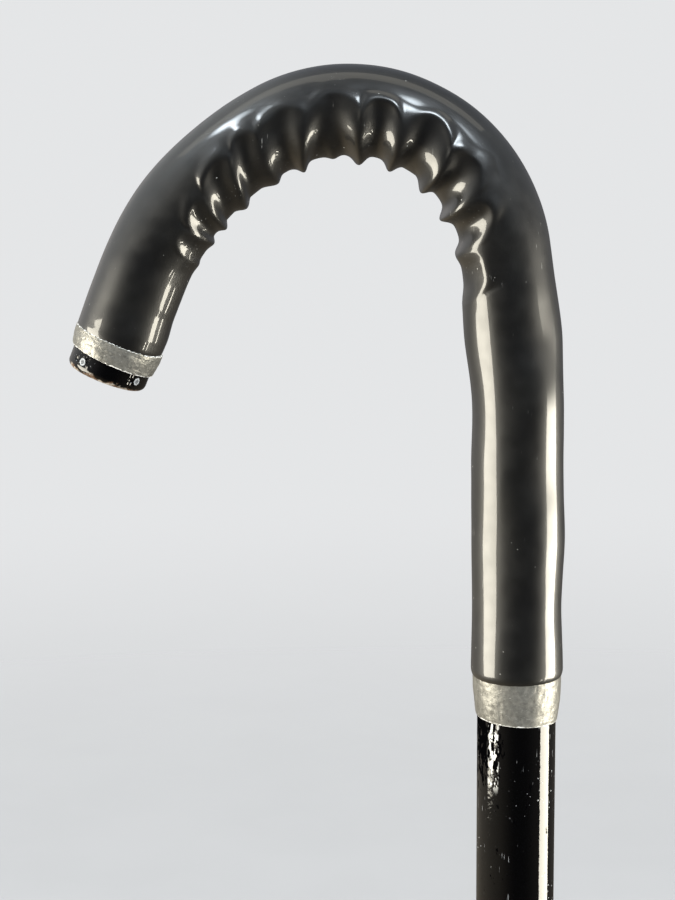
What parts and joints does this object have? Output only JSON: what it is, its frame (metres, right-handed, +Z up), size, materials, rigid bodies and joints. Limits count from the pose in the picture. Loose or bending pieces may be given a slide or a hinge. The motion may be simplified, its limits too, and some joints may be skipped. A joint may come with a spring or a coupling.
{
  "type": "quad walking cane",
  "caption": "Walking cane with a crook handle in a soft sleeve, push-button height adjustment, a locking collar and a swivelling wide base on rubber feet.",
  "frame": {"origin": "where the shaft axis meets the floor plane under the rubber feet", "axes": "+Z up along the shaft; the crook opens towards -X; the base reaches further towards -Y"},
  "size_m": [0.1994, 0.203, 0.838],
  "materials": {
    "gloss_black_tube": "high gloss black paint with fine chips and scratches",
    "vinyl_grip": "soft satin black vinyl with creased folds",
    "silver_tape": "crinkled silver-grey tape",
    "black_plastic": "fine textured moulding",
    "grey_nylon": "smooth moulding",
    "plated_steel": "bright zinc plate",
    "spring_steel": "tempered strip",
    "painted_steel": "gloss black powder coat",
    "brass_pad": "turned",
    "foot_rubber": "matt moulded rubber with scuffed soles"
  },
  "bodies": {
    "base": {"base_socket": "painted_steel", "socket_liner": "grey_nylon", "base_plate": "painted_steel", "leg_tube_front": "painted_steel", "leg_tube_rear": "painted_steel", "weld_nut": "painted_steel", "foot_washers": "plated_steel", "foot_tip_front_inner": "foot_rubber", "foot_tip_front_outer": "foot_rubber", "foot_tip_rear_inner": "foot_rubber", "foot_tip_rear_outer": "foot_rubber"},
    "shaft": {"lower_tube": "gloss_black_tube", "shaft_top_bush": "grey_nylon", "shaft_end_plug": "black_plastic", "button_spring": "spring_steel"},
    "handle": {"handle_tube": "gloss_black_tube", "grip_sleeve": "vinyl_grip", "grip_band_lower": "silver_tape", "grip_band_end": "silver_tape", "end_plug": "black_plastic", "collar_body": "black_plastic"},
    "button": {"height_button": "plated_steel"},
    "ferrule": {"collar_ferrule": "grey_nylon"},
    "nut": {"collar_nut": "black_plastic"},
    "pad": {"clamp_pad": "brass_pad"},
    "knob": {"clamp_knob": "black_plastic", "clamp_screw": "plated_steel"}
  },
  "joints": [
    {"name": "base_swivel", "type": "hinge", "parent": "base", "child": "shaft", "pos_m": [0, 0, 0.137], "axis": [0, 0, 1], "continuous": true},
    {"name": "height_slide", "type": "slide", "parent": "shaft", "child": "handle", "axis": [0, 0, 1], "range_m": [-0.0762, 0.0762]},
    {"name": "height_button_press", "type": "slide", "parent": "shaft", "child": "button", "axis": [-1, 0, 0], "range_m": [0, 0.0036], "stiffness_N_per_m": 600, "springref_m": -0.002, "deforming": ["button_spring"]},
    {"name": "collar_feed", "type": "slide", "parent": "handle", "child": "ferrule", "axis": [0, 0, -1], "range_m": [0, 0.0031]},
    {"name": "collar_turn", "type": "hinge", "parent": "ferrule", "child": "nut", "pos_m": [0, 0, 0.36], "axis": [0, 0, -1], "range_deg": [0, 540]},
    {"name": "clamp_feed", "type": "slide", "parent": "base", "child": "pad", "axis": [0, -1, 0], "range_m": [0, 0.0031]},
    {"name": "clamp_turn", "type": "hinge", "parent": "pad", "child": "knob", "pos_m": [0, -0.0256, 0.137], "axis": [0, -1, 0], "range_deg": [0, 1080]}
  ],
  "couplings": [
    {"joint": "collar_feed", "follows": "collar_turn", "m_per_rad": 0.00031831},
    {"joint": "clamp_feed", "follows": "clamp_turn", "m_per_rad": 0.00015915}
  ]
}
